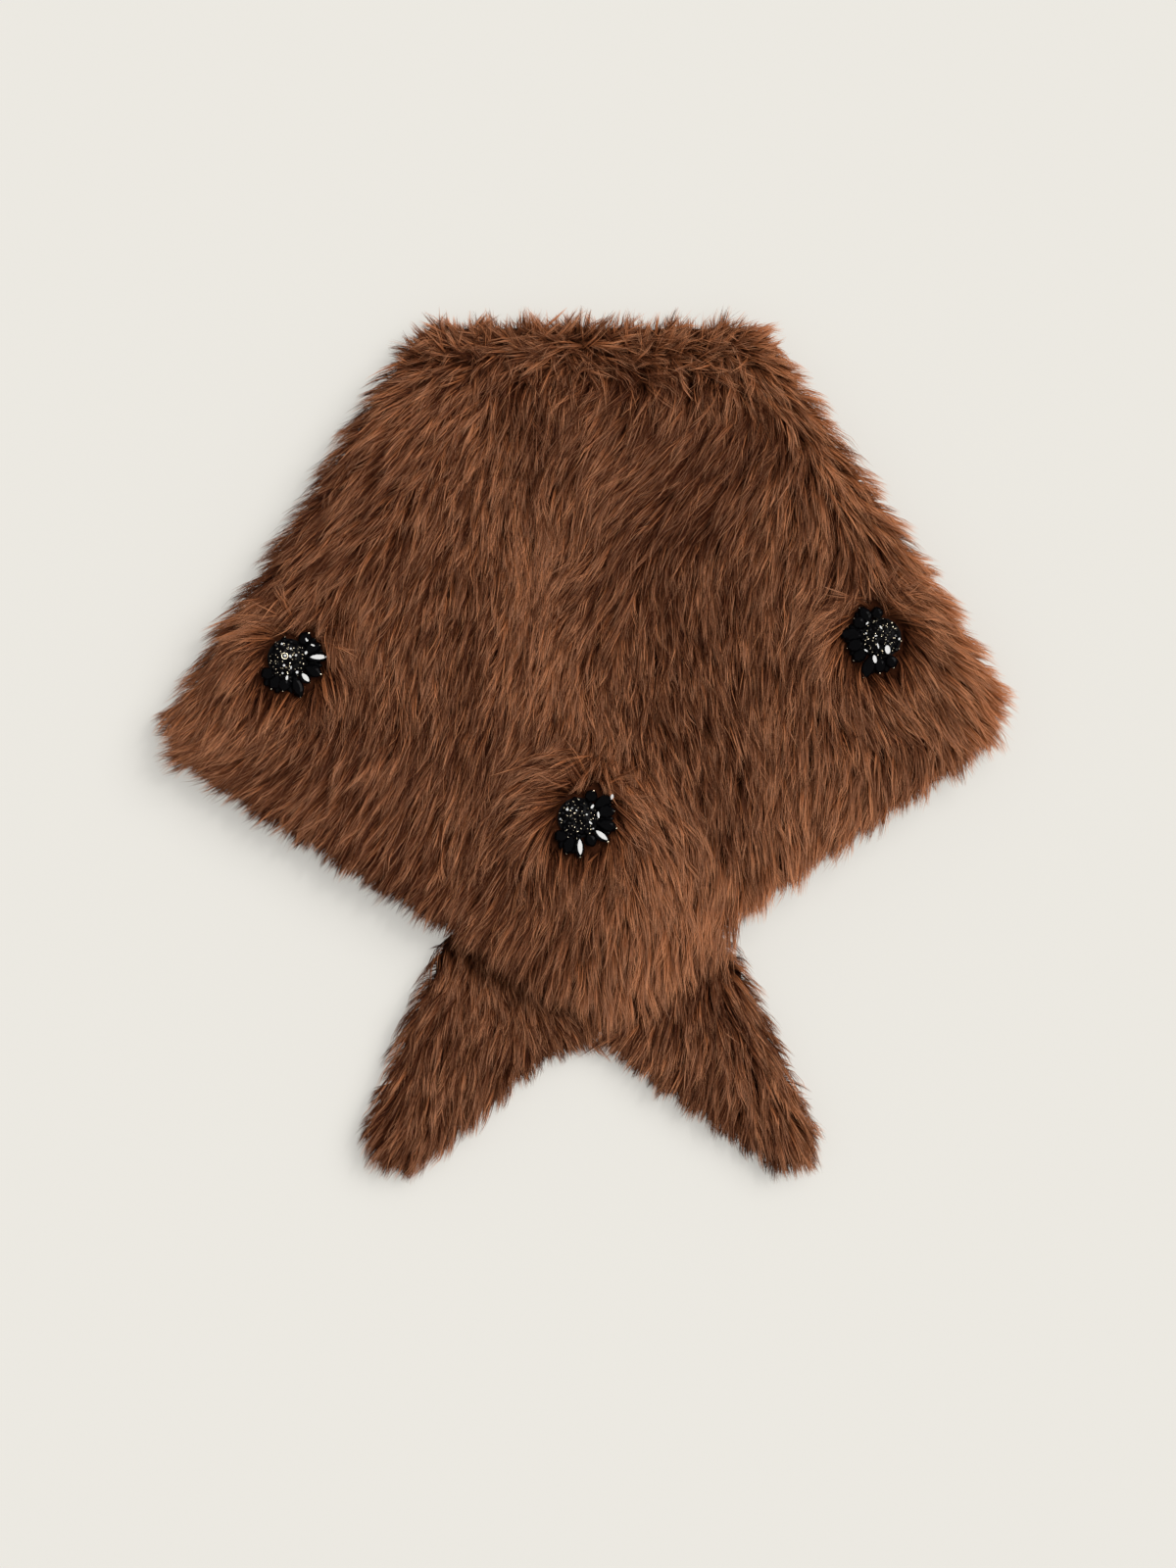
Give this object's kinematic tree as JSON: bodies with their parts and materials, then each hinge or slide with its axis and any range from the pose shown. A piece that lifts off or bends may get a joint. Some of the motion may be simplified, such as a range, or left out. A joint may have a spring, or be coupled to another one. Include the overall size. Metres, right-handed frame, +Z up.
{
  "type": "fur collar wrap",
  "caption": "Triangular wrap of long-pile fur lying flat, its long ends folded behind and crossing below the point, with jewelled motifs sewn on the front.",
  "frame": {"origin": "middle of the footprint, on the surface that the wrap lies on", "axes": "+Z up from that surface, +Y towards the neck edge, +X towards the right as seen from above with the neck edge away from the viewer"},
  "size_m": [0.5654, 0.5748, 0.0492],
  "materials": {
    "fur": "long brown pile, soft sheen",
    "setting": "black, satin",
    "stone": "black, polished facets"
  },
  "bodies": {
    "root": {"front_panel": "fur", "hidden_layers": "fur", "left_end": "fur", "right_end": "fur", "motif_left_plate": "setting", "motif_left_mound": "stone", "motif_left_petal_1": "stone", "motif_left_petal_2": "stone", "motif_left_petal_3": "stone", "motif_left_petal_4": "stone", "motif_left_petal_5": "stone", "motif_left_petal_6": "stone", "motif_left_petal_7": "stone", "motif_left_petal_8": "stone", "motif_left_petal_9": "stone", "motif_middle_plate": "setting", "motif_middle_mound": "stone", "motif_middle_petal_1": "stone", "motif_middle_petal_2": "stone", "motif_middle_petal_3": "stone", "motif_middle_petal_4": "stone", "motif_middle_petal_5": "stone", "motif_middle_petal_6": "stone", "motif_middle_petal_7": "stone", "motif_middle_petal_8": "stone", "motif_middle_petal_9": "stone", "motif_right_plate": "setting", "motif_right_mound": "stone", "motif_right_petal_1": "stone", "motif_right_petal_2": "stone", "motif_right_petal_3": "stone", "motif_right_petal_4": "stone", "motif_right_petal_5": "stone", "motif_right_petal_6": "stone", "motif_right_petal_7": "stone", "motif_right_petal_8": "stone", "motif_right_petal_9": "stone"}
  },
  "joints": []
}
